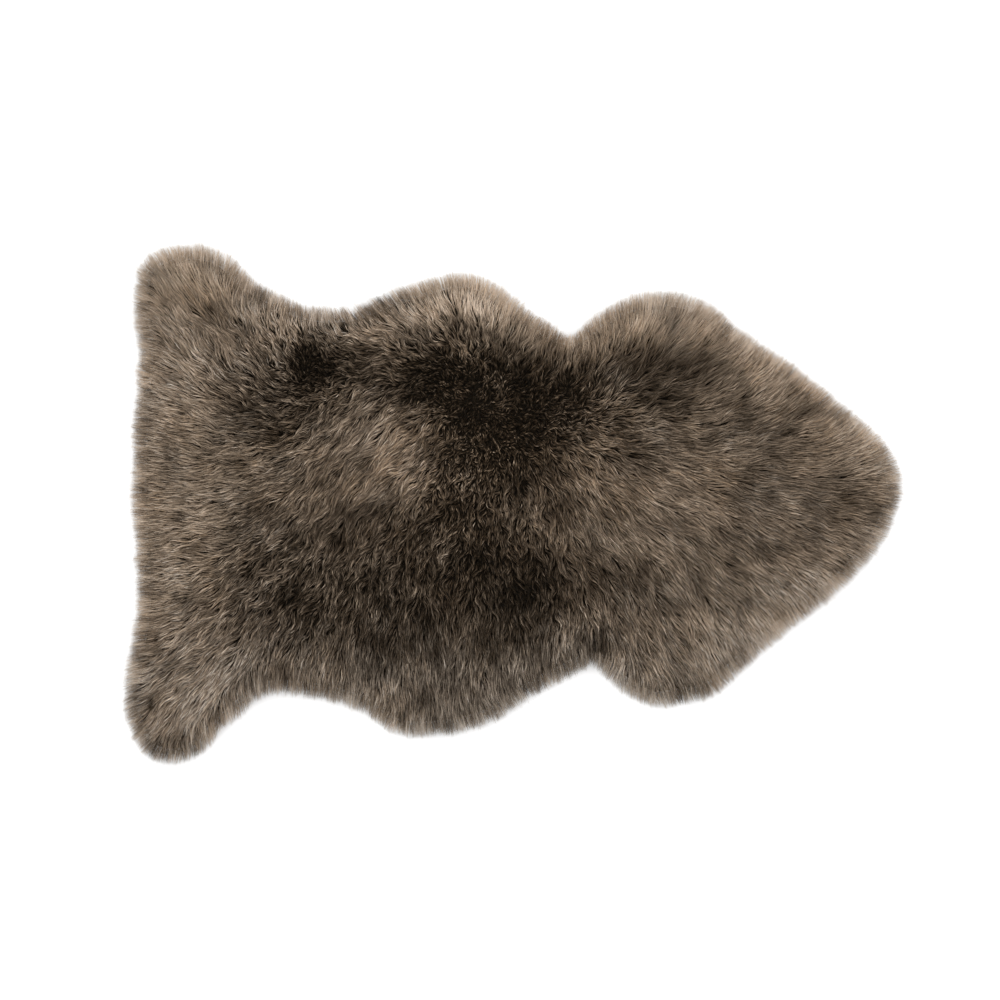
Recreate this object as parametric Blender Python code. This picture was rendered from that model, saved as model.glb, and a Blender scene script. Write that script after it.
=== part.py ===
"""Sheepskin rug, lying flat with its wool side up.

One whole pelt, so one solid: a flat sole, a thick pile with a rounded rim and a lumpy top,
and pointed locks of wool that stand out all round the rim. Metres, +Z up. X runs from the
rump to the neck and Y from the belly side to the back side. The origin is on the floor,
under the middle of the rug.
"""

import math
from collections import namedtuple

import bmesh
import bpy
from mathutils import Matrix, Vector, noise
from mathutils.geometry import delaunay_2d_cdt
from mathutils.kdtree import KDTree

MM = 0.001
WELD = 0.01 * MM

# Driving sizes
PILE_HEIGHT = 46 * MM  # wool over the middle of the pelt, skin included
WAIST_HEIGHT = 10 * MM  # where the rounded rim reaches furthest out
SHOULDER_REACH = 70 * MM  # from the rim to where the pile has its full height
SOLE_INSET = 9 * MM  # the flat sole stops this far inside the waist
SLAB_INSET = 8 * MM  # the waist runs this far inside the outline of the wool
RIM_STEP = 17 * MM  # between neighbouring points round the rim
LATTICE_STEP = 17 * MM  # between neighbouring points of the top
LATTICE_GAP = 9 * MM  # from the brow ring to the nearest point of the top

# Lumps of the pile: how wide and how high
BROAD_LUMP, BROAD_RISE = 85 * MM, 5 * MM
SMALL_LUMP, SMALL_RISE = 38 * MM, 4.5 * MM

# Locks round the rim
LOCKS = 200
LOCK_ROOT_DEPTH = 12 * MM  # how far the root runs into the slab
LOCK_REACH = 13 * MM  # from the waist to the tip, on average
LOCK_SPREAD = 0.35  # how unlike the locks are in length, as a share
LOCK_SWAY = math.radians(20)  # how far a lock turns to either side by itself
WANDER_STEP = 0.73  # how fast the locks' sway and length change along the rim
LOCK_WIDTH = 13 * MM
LOCK_THICKNESS = 8.5 * MM
PARTING = (-20 * MM, 90 * MM)  # the locks are combed away from here
COMBING = 0.55  # how much of a lock's heading comes from the combing

# The outline of the wool, in millimetres from the middle of the rug
RimPoint = namedtuple("RimPoint", "place along across")
RIM = [
    RimPoint("rump corner", -454, 293),
    RimPoint("hind leg", -356, 305),
    RimPoint("back of hind leg", -328, 277),
    RimPoint("into hip hollow", -293, 257),
    RimPoint("hip hollow", -253, 239),
    RimPoint("out of hip hollow", -214, 236),
    RimPoint("up the flank", -133, 262),
    RimPoint("flank", -51, 279),
    RimPoint("down the flank", 18, 235),
    RimPoint("into waist", 48, 215),
    RimPoint("waist", 73, 207),
    RimPoint("up the shoulder", 97, 224),
    RimPoint("shoulder", 174, 256),
    RimPoint("front of shoulder", 236, 245),
    RimPoint("base of neck", 272, 214),
    RimPoint("side of neck", 339, 169),
    RimPoint("upper neck", 400, 120),
    RimPoint("corner of nape", 465, 53),
    RimPoint("nape", 474, 22),
    RimPoint("other corner of nape", 465, -13),
    RimPoint("long cheek", 296, -185),
    RimPoint("top of foreleg", 263, -215),
    RimPoint("front of foreleg", 236, -235),
    RimPoint("foreleg", 203, -239),
    RimPoint("tip of foreleg", 175, -245),
    RimPoint("back of foreleg", 148, -233),
    RimPoint("into elbow notch", 121, -214),
    RimPoint("elbow notch", 108, -198),
    RimPoint("up the belly", 53, -215),
    RimPoint("front of belly", -40, -269),
    RimPoint("belly", -102, -280),
    RimPoint("back of belly", -146, -277),
    RimPoint("into groin", -173, -256),
    RimPoint("groin", -261, -231),
    RimPoint("out of groin", -295, -229),
    RimPoint("thigh", -349, -266),
    RimPoint("hock", -380, -297),
    RimPoint("tip of hock", -408, -313),
    RimPoint("end of hock", -442, -310),
    RimPoint("lower rump corner", -473, -246),
    RimPoint("lower rump", -469, -195),
    RimPoint("lower middle of rump", -459, -135),
    RimPoint("middle of rump", -464, 6),
    RimPoint("upper middle of rump", -459, 141),
    RimPoint("upper rump", -455, 192),
    RimPoint("under rump corner", -462, 244),
]

# Where the combed pile parts and sinks, or lies full and swells, in millimetres
Swell = namedtuple("Swell", "place along across radius rise")
SWELLS = [
    Swell("hip parting", -248, 160, 42, -9),
    Swell("back parting", -75, 148, 55, -8),
    Swell("withers parting", 22, 112, 52, -8),
    Swell("saddle hollow", 0, -104, 60, -7),
    Swell("belly hollow", -150, -118, 75, -4),
    Swell("thigh parting", -225, -120, 45, -3),
    Swell("loin swell", -160, 70, 60, 5),
    Swell("rump swell", -360, 20, 90, 3),
    Swell("hind leg swell", -385, 230, 60, 3),
    Swell("flank swell", -55, 225, 45, 4),
    Swell("shoulder swell", 175, 205, 60, 4),
    Swell("chest swell", 200, 0, 110, 4),
    Swell("belly swell", -90, -225, 60, 3),
    Swell("foreleg swell", 190, -195, 55, 3),
]

# The side of the slab, from the sole up: how far each ring lies inside the waist
Ring = namedtuple("Ring", "inset height")
SOLE = Ring(SOLE_INSET, 0.0)
TUCK = Ring(2 * MM, 4 * MM)
WAIST = Ring(0.0, WAIST_HEIGHT)
SHOULDER_INSET = 5 * MM
BROW_INSET = 15 * MM

# A lock's sections, from its root to its tip: how far along, and how big beside a full section
Section = namedtuple("Section", "share size")
LOCK_SECTIONS = [Section(0.0, 0.9), Section(0.46, 1.0), Section(1.0, 0.12)]

# The two tiers of locks: height of the root and of the tip, and reach beside the average
Tier = namedtuple("Tier", "root_height tip_height reach")
TIERS = [
    Tier(8.5 * MM, 2.2 * MM, 1.12),
    Tier(18 * MM, 9 * MM, 0.88),
]

WOOL_COLOUR = (0.105, 0.08, 0.06, 1.0)


def clear_scene():
    for old in list(bpy.data.objects):
        bpy.data.objects.remove(old)


def new_collection(name):
    collection = bpy.data.collections.new(name)
    bpy.context.scene.collection.children.link(collection)
    return collection


def wool_material():
    material = bpy.data.materials.new("wool")
    material.use_nodes = True
    shader = material.node_tree.nodes["Principled BSDF"]
    shader.inputs["Base Color"].default_value = WOOL_COLOUR
    shader.inputs["Roughness"].default_value = 0.85
    shader.inputs["Metallic"].default_value = 0.0
    return material


def smooth_loop(points, steps=12):
    """A closed smooth curve through the points, each stretch in this many steps."""
    count = len(points)
    curve = []
    for i in range(count):
        before, start, end, after = (points[(i + k) % count] for k in (-1, 0, 1, 2))
        d0, d1, d2 = (start - before).length, (end - start).length, (after - end).length
        leave = ((start - before) / d0 * d1 + (end - start) / d1 * d0) / (d0 + d1) * d1
        arrive = ((end - start) / d1 * d2 + (after - end) / d2 * d1) / (d1 + d2) * d1
        for k in range(steps):
            u = k / steps
            curve.append(
                (2 * u**3 - 3 * u**2 + 1) * start
                + (u**3 - 2 * u**2 + u) * leave
                + (3 * u**2 - 2 * u**3) * end
                + (u**3 - u**2) * arrive
            )
    return curve


def evenly_spaced(loop, count):
    """This many points along a closed loop, the same way apart."""
    lengths = [(loop[(i + 1) % len(loop)] - p).length for i, p in enumerate(loop)]
    step = sum(lengths) / count
    spaced, i, left = [], 0, 0.0
    for k in range(count):
        while left + lengths[i] < k * step:
            left += lengths[i]
            i += 1
        share = (k * step - left) / lengths[i]
        spaced.append(loop[i].lerp(loop[(i + 1) % len(loop)], share))
    return spaced


def inward_normals(loop):
    """For each point of a clockwise loop, the unit vector into the rug."""
    normals = []
    for i in range(len(loop)):
        along = loop[(i + 1) % len(loop)] - loop[i - 1]
        normals.append(Vector((along.y, -along.x)).normalized())
    return normals


def moved_in(loop, distance):
    return [p + n * distance for p, n in zip(loop, inward_normals(loop))]


def loop_length(loop):
    return sum((loop[(i + 1) % len(loop)] - p).length for i, p in enumerate(loop))


def fullness(depth):
    """From 0 at the rim to 1 where the pile is full, along a quarter circle."""
    share = min(max(depth / SHOULDER_REACH, 0.0), 1.0)
    return math.sqrt(1 - (1 - share) ** 2)


def lumps(x, y):
    """How far the top of the pile rises or sinks here."""
    rise = BROAD_RISE * noise.noise(Vector((x, y, 0.0)) / BROAD_LUMP)
    rise += SMALL_RISE * noise.noise(Vector((x, y, 0.5)) / SMALL_LUMP)
    for swell in SWELLS:
        away = math.hypot(x - swell.along * MM, y - swell.across * MM)
        rise += swell.rise * MM * math.exp(-((away / (swell.radius * MM)) ** 2))
    return rise


def pile_top(x, y, depth):
    full = fullness(depth)
    return WAIST_HEIGHT + (PILE_HEIGHT - WAIST_HEIGHT) * full + lumps(x, y) * full**2


def ring_of_verts(bm, loop, height_at):
    return [bm.verts.new((p.x, p.y, height_at(p))) for p in loop]


def loft(bm, lower, upper):
    for i in range(len(lower)):
        j = (i + 1) % len(lower)
        bm.faces.new((lower[i], upper[i], upper[j], lower[j]))


def lattice_inside(brow, waist_tree):
    """Staggered points over the top that lie well inside the brow ring, each with its depth."""
    brow_tree = tree_of(brow)
    normals = inward_normals(brow)
    low_x, high_x = min(p.x for p in brow), max(p.x for p in brow)
    low_y, high_y = min(p.y for p in brow), max(p.y for p in brow)
    row_step = LATTICE_STEP * math.sqrt(3) / 2
    found = []
    for row in range(int((high_y - low_y) / row_step) + 1):
        y = low_y + row * row_step
        shift = LATTICE_STEP / 2 * (row % 2)
        for column in range(int((high_x - low_x) / LATTICE_STEP) + 1):
            point = Vector((low_x + shift + column * LATTICE_STEP, y))
            place, index, distance = brow_tree.find(point.to_3d())
            inside = (point - place.to_2d()).dot(normals[index]) > 0
            if inside and distance > LATTICE_GAP:
                depth = waist_tree.find(point.to_3d())[2]
                found.append((point, depth))
    return found


def tree_of(loop):
    tree = KDTree(len(loop))
    for i, p in enumerate(loop):
        tree.insert(p.to_3d(), i)
    tree.balance()
    return tree


def cover_top(bm, brow_verts, lattice):
    """Triangles over the brow ring and the points inside it."""
    verts = brow_verts + [bm.verts.new((p.x, p.y, pile_top(p.x, p.y, d))) for p, d in lattice]
    ring_edges = [(i, (i + 1) % len(brow_verts)) for i in range(len(brow_verts))]
    flat = [v.co.to_2d() for v in verts]
    inside_only = 1
    result = delaunay_2d_cdt(flat, ring_edges, [], inside_only, WELD)
    faces, sources = result[2], result[3]
    for face in faces:
        bm.faces.new([verts[sources[i][0]] for i in face])


def build_slab(waist):
    """The pelt with its wool as one closed slab."""
    bm = bmesh.new()
    sole = ring_of_verts(bm, moved_in(waist, SOLE.inset), lambda p: SOLE.height)
    tuck = ring_of_verts(bm, moved_in(waist, TUCK.inset), lambda p: TUCK.height)
    middle = ring_of_verts(bm, waist, lambda p: WAIST.height)
    shoulder = ring_of_verts(
        bm, moved_in(waist, SHOULDER_INSET), lambda p: pile_top(p.x, p.y, SHOULDER_INSET)
    )
    brow_loop = moved_in(waist, BROW_INSET)
    brow = ring_of_verts(bm, brow_loop, lambda p: pile_top(p.x, p.y, BROW_INSET))
    bm.faces.new(sole)
    for lower, upper in ((sole, tuck), (tuck, middle), (middle, shoulder), (shoulder, brow)):
        loft(bm, lower, upper)
    cover_top(bm, brow, lattice_inside(brow_loop, tree_of(waist)))
    bmesh.ops.recalc_face_normals(bm, faces=bm.faces)
    mesh = bpy.data.meshes.new("sheepskin")
    bm.to_mesh(mesh)
    bm.free()
    return mesh


def wander(number, seed):
    """A steady value from about -1 to 1 for this lock, unlike its neighbours' values."""
    return 2 * noise.noise(Vector((number * WANDER_STEP, seed, 0.5)))


def lock_line(number, foot, inward):
    """A lock's centre points and sizes, from its root inside the slab to its tip."""
    tier = TIERS[number % len(TIERS)]
    combed = (foot - Vector(PARTING)).normalized() * COMBING
    heading = (combed - inward * (1 - COMBING)).normalized()
    heading.rotate(Matrix.Rotation(LOCK_SWAY * wander(number, 1), 2))
    reach = LOCK_REACH * tier.reach * (1 + LOCK_SPREAD * wander(number, 2))
    root = foot - heading * LOCK_ROOT_DEPTH
    tip = foot + heading * reach
    points, sizes = [], []
    for section in LOCK_SECTIONS:
        flat = root.lerp(tip, section.share)
        drop = section.share**2
        height = tier.root_height + (tier.tip_height - tier.root_height) * drop
        points.append(Vector((flat.x, flat.y, height)))
        sizes.append(section.size)
    return points, sizes


def lock_section():
    """The diamond that every lock has as its cross-section, wider than it is thick."""
    profile = bpy.data.curves.new("lock_section", "CURVE")
    profile.dimensions = "2D"
    spline = profile.splines.new("POLY")
    corners = [(LOCK_WIDTH / 2, 0), (0, LOCK_THICKNESS / 2)]
    corners += [(-x, -y) for x, y in corners]
    spline.points.add(len(corners) - 1)
    for target, (x, y) in zip(spline.points, corners):
        target.co = (x, y, 0.0, 1.0)
    spline.use_cyclic_u = True
    section = bpy.data.objects.new("lock_section", profile)
    bpy.context.scene.collection.objects.link(section)
    return section


def build_locks(waist_curve):
    """The rim's locks as flattened, tapered strands of four sides, in one mesh."""
    feet = evenly_spaced(waist_curve, LOCKS)
    curve = bpy.data.curves.new("rim_locks", "CURVE")
    curve.dimensions = "3D"
    curve.twist_mode = "Z_UP"
    curve.bevel_mode = "OBJECT"
    curve.bevel_object = lock_section()
    curve.use_fill_caps = True
    for number, (foot, inward) in enumerate(zip(feet, inward_normals(feet))):
        points, sizes = lock_line(number, foot, inward)
        spline = curve.splines.new("POLY")
        spline.points.add(len(points) - 1)
        for target, point, size in zip(spline.points, points, sizes):
            target.co = (*point, 1.0)
            target.radius = size
    guide = bpy.data.objects.new("rim_locks_guide", curve)
    bpy.context.scene.collection.objects.link(guide)
    graph = bpy.context.evaluated_depsgraph_get()
    mesh = bpy.data.meshes.new_from_object(guide.evaluated_get(graph))
    bpy.data.objects.remove(curve.bevel_object)
    bpy.data.objects.remove(guide)
    bm = bmesh.new()
    bm.from_mesh(mesh)
    bmesh.ops.remove_doubles(bm, verts=bm.verts, dist=WELD)
    bmesh.ops.recalc_face_normals(bm, faces=bm.faces)
    bm.to_mesh(mesh)
    bm.free()
    mesh.name = "rim_locks"
    return mesh


def join_locks(rug, locks):
    union = rug.modifiers.new("locks", "BOOLEAN")
    union.operation = "UNION"
    union.solver = "EXACT"
    union.object = locks


def centre_on_floor(rug, *meshes):
    """Moves the meshes so that the rug's box stands on the origin by its middle."""
    bpy.context.view_layer.update()
    graph = bpy.context.evaluated_depsgraph_get()
    corners = [Vector(c) for c in rug.evaluated_get(graph).bound_box]
    middle_x = (min(c.x for c in corners) + max(c.x for c in corners)) / 2
    middle_y = (min(c.y for c in corners) + max(c.y for c in corners)) / 2
    for mesh in meshes:
        mesh.transform(Matrix.Translation((-middle_x, -middle_y, 0.0)))


def main():
    clear_scene()
    parts, helpers = new_collection("sheepskin_rug"), new_collection("helpers")
    outline = smooth_loop([Vector((p.along, p.across)) * MM for p in RIM])
    waist_curve = moved_in(outline, SLAB_INSET)
    waist = evenly_spaced(waist_curve, round(loop_length(waist_curve) / RIM_STEP))

    rug = bpy.data.objects.new("sheepskin", build_slab(waist))
    rug.data.materials.append(wool_material())
    parts.objects.link(rug)

    locks = bpy.data.objects.new("rim_locks", build_locks(waist_curve))
    locks.hide_render = True
    locks.display_type = "WIRE"
    helpers.objects.link(locks)

    join_locks(rug, locks)
    centre_on_floor(rug, rug.data, locks.data)
    rug.data.shade_smooth()
    rug.data.set_sharp_from_angle(angle=math.radians(50))


main()
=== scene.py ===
"""A sheepskin rug lying flat on a pale floor, wool side up, seen from straight above.

The hide is a thin sheet of suede. Over it lies a dense undercoat, and out of that grows the
combed wool: tens of thousands of tapered strands, drawn together into locks, each strand a
closed sliver of mesh. Everything is in metres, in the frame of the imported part: X runs from
the rump to the neck, Y from the belly side to the back side, and the floor is at Z = 0.
"""

import math
from collections import namedtuple

import bpy
import numpy as np
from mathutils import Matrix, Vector, noise
from mathutils.bvhtree import BVHTree


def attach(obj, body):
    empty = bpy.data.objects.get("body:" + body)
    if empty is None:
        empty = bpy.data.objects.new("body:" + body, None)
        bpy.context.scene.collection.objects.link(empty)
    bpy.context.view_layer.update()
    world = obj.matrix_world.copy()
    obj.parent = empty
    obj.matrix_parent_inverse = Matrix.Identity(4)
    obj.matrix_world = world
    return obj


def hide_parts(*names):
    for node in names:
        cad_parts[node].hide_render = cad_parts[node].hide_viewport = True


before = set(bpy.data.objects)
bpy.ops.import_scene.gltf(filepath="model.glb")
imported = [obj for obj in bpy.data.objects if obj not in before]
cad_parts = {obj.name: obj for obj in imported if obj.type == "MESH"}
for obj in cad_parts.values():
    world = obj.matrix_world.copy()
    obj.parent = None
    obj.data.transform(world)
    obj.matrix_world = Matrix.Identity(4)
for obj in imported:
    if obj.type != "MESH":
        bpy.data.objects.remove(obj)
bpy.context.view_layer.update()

MM = 0.001
NODE = "sheepskin"
BODY = "root"
chance = np.random.default_rng(20)
tint_chance = np.random.default_rng(21)

# ---- sizes

RIM_BEYOND_SOLE = 17 * MM  # from the solid's flat sole out to the edge of the wool
EDGE_INSET = 13 * MM  # from the edge of the wool in to the edges of hide and undercoat
HIDE_LIFT, HIDE_THICKNESS = 0.2 * MM, 2.4 * MM
HIDE_STEP = 12 * MM
COAT_STEP = 8 * MM
COAT_FOOT = 2.8 * MM  # the undercoat's underside, and the height of the roots at its edge
COAT_LEAST = 1 * MM  # how thick the undercoat is at its edge
COAT_STEEPNESS = 2.3  # how steeply it rises from there
TOP_COAT = 11.5 * MM  # how far the wool stands over the roots
PROUD = 2 * MM  # how far the wool's tips stand over the solid

# Bands along the rim, from the edge of the wool inwards. Across each, the look of the rim
# gives way to that of the middle.
COMB_BAND = (EDGE_INSET, 34 * MM)  # the rim's wool is combed outwards and lies flat
WAVE_BAND = (10 * MM, 80 * MM)  # it is less wavy
LOCK_BAND = (5 * MM, 35 * MM)  # its locks are broader
LENGTH_BAND = (EDGE_INSET, 45 * MM)  # its strands are longer, and less alike in tone
GIRTH_BAND = (0, 35 * MM)  # they are thinner, and less drawn together
PAINTED_LIGHT_BAND = (15 * MM, 60 * MM)  # it is painted brighter where it faces the back side, as painted light

REACH = 25 * MM  # how far a strand that lies flat runs along the comb
RIM_LONGER, CALM_LONGER, UPRIGHT_SHORTER = 0.4, 0.35, 0.4  # how that differs, as shares of it
LENGTHS = (0.75, 1.2)  # the shortest and longest strands, as shares of the usual
GIRTHS = (0.7, 1.25)  # the thinnest and thickest, likewise
SHORTEST = 4 * MM
OVERHANG = 8.9 * MM  # how far past the edge of the wool they may reach
SOONER, FURTHER = 3.6 * MM, 1.1 * MM  # how much sooner or further single ones end
LEAST_FACING = 0.3  # those that run along the rim are cut as if they faced it this much

WAVE, WAVE_TURN = 11 * MM, 0.36  # the wool's waves: their size, and how far they turn it
FINE_WAVES, RIM_WAVES = 0.25, 0.45  # the part of them that fine wool lacks, and the rim has
CURL, CURL_TURN = 6 * MM, 1.7  # like the waves, the curls of wool that stands upright
OUTWARD = 0.5  # how far the rim's wool is turned from its comb to straight outwards
LEAST_LEAN = 0.34  # where the wool stands up most. Flat wool's lean is 1.
LEAST_LIVELY = 0.1  # where strands differ least. The usual is 1.

LOCK_LENGTH = 7.5 * MM
SMEAR_STEPS = 4  # in how many steps half of that length is walked
BROADER, CLUMPED = 8, 60  # rounds of softening that make broad locks, and clumps of them
# How strong broad locks are, how that changes in fine wool and at the rim, and clumps there
BROAD, FINE_BROAD, RIM_BROAD, RIM_CLUMPS = 1.2, -0.8, 1.8, 6
FINER = (-60 * MM, 140 * MM)  # from here to here along the rug its wool gets finer
LOCK_LIFT, LOCK_LIGHT_AND_SHADE = 0.7 * MM, 0.05  # how much the middle of a lock stands up, and how much painted light pales it and painted shade darkens the furrows
LOCK_REACH = 1.1 * MM  # how much further out it reaches at the rim
UPRIGHT_LOCKS = 3.2  # how much more that painted light and shade shows where the wool stands up
RIM_MOTTLE, UPRIGHT_MOTTLE = 0.1, 1.3  # how much more single strands differ in tone there
RIM_BUMP, RIM_BUMPS = 15 * MM, 1.6 * MM  # the bumps along the rim: their size and their height
# Where the wool ends sooner along the rim, by how much, or later if below 0. In millimetres.
Notch = namedtuple("Notch", "place along across radius depth")
NOTCHES = [
    Notch("flank nick", -200.5, 242, 3.6, 20),
    Notch("behind the nick", -184, 243, 6, 4),
    Notch("hip hollow", -274, 247, 14, 4.5),
    Notch("hind leg, front", -311, 268, 8, 3),
    Notch("hind leg, rear", -457, 272, 9, 3),
    Notch("rump", -460, -45, 16, 3),
    Notch("hock, rear", -474, -267, 10, -3.5),
    Notch("hock, front", -366, -281, 9, 7),
    Notch("inside the hock", -325, -245, 15, 4),
    Notch("groin", -275, -235, 18, 3.5),
    Notch("belly, rear", -182, -250, 9, 3.5),
    Notch("belly, front", 2, -244, 14, 4.5),
    Notch("elbow", 101, -201, 9, 7),
    Notch("foreleg, front", 275, -203, 9, 3),
    Notch("cheek", 396, -101, 12, 4),
    Notch("neck tip", 473, 42, 14, -4),
    Notch("shoulder, front", 234, 246, 12, 3),
    Notch("waist", 72, 214, 13, 8),
    Notch("flank, front", 28, 230, 13, 3),
]
LOCK_PULL = 1.0 * MM * MM  # how strongly strands draw together to the middle of their lock
MOST_PULL = 1.5 * MM
RIM_SHARE = 0.5  # the part of that pull, and of a strand's thickness, left at the rim
ROOT_DEPTH = 2 * MM  # how deep a strand is rooted in the undercoat
LOW_TOP = 0.2  # the share of the wool's height that strands with the lowest roots reach
FULL_TOP = 19 * MM  # how far above those a root is whose strand reaches all of it
LOWEST = 0.8 * MM  # nothing of the wool lies lower

# The wool has three layers, made in regions from the rump to the neck. Roots are a step
# apart. Strands have a reach, as a share of REACH, and a radius. They lie at a lift over the
# wool's top, which differs by a ruffle, and their tips droop. They stray from the lie of the
# wool, in radians, draw together into locks, are paler by a tone and differ by a mottle. On
# the way from root to tip they pass through places: along says how far along, rise how much
# of the way up, and girth how thick the strand is. Lengths are in millimetres.
Place = namedtuple("Place", "along rise girth")
Layer = namedtuple(
    "Layer", "name regions step reach radius lift ruffle droop stray locks tone mottle places"
)
LAYERS = [
    Layer(
        "under_wool", ("rump", "loin", "withers", "neck"),
        step=3.3, reach=0.9, radius=0.66, lift=-3.0, ruffle=1.2, droop=0.0,
        stray=0.12, locks=0.3, tone=-0.03, mottle=0.05, places=[Place(0.45, 0.85, 1.0)],
    ),
    Layer(
        "top_wool", ("rump", "thigh", "withers", "neck"),
        step=2.49, reach=0.86, radius=0.42, lift=-0.8, ruffle=1.1, droop=0.0,
        stray=0.07, locks=1.0, tone=0.0, mottle=0.095, places=[Place(0.40, 0.95, 1.0)],
    ),
    Layer(
        "long_wool", ("hind", "fore"),
        step=5.2, reach=1.0, radius=0.44, lift=0.0, ruffle=1.1, droop=-1.0,
        stray=0.05, locks=1.0, tone=0.02, mottle=0.08,
        places=[Place(0.34, 0.90, 1.0), Place(0.68, 1.02, 0.9)],
    ),
]
TIP = Place(along=1.0, rise=1.0, girth=0.0)

GRID_STEP = 4 * MM
GRID_LOW = np.array([-0.54, -0.38])
GRID_COUNT = (271, 191)
RIDGE_FINER = 4  # how much finer the grid of the locks is
UP, ALONG_RUG = np.array([0.0, 0.0, 1.0]), np.array([1.0, 0.0, 0.0])
NEAR_UPRIGHT = 0.05  # strands that lean less than this are turned by the rug's length

# The side of the wool, from outside the rim inwards, in millimetres
RimFall = namedtuple("RimFall", "inside height")
RIM_FALL = [
    RimFall(-12, 1.0),
    RimFall(-8, 3.5),
    RimFall(-4, 8.0),
    RimFall(0, 13.0),
    RimFall(5, 19.5),
    RimFall(10, 25.0),
    RimFall(16, 30.0),
    RimFall(24, 34.5),
    RimFall(36, 39.0),
]
RIM_BLEND = (20 * MM, 36 * MM)  # from the rim's own fall over to the solid's height

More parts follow.
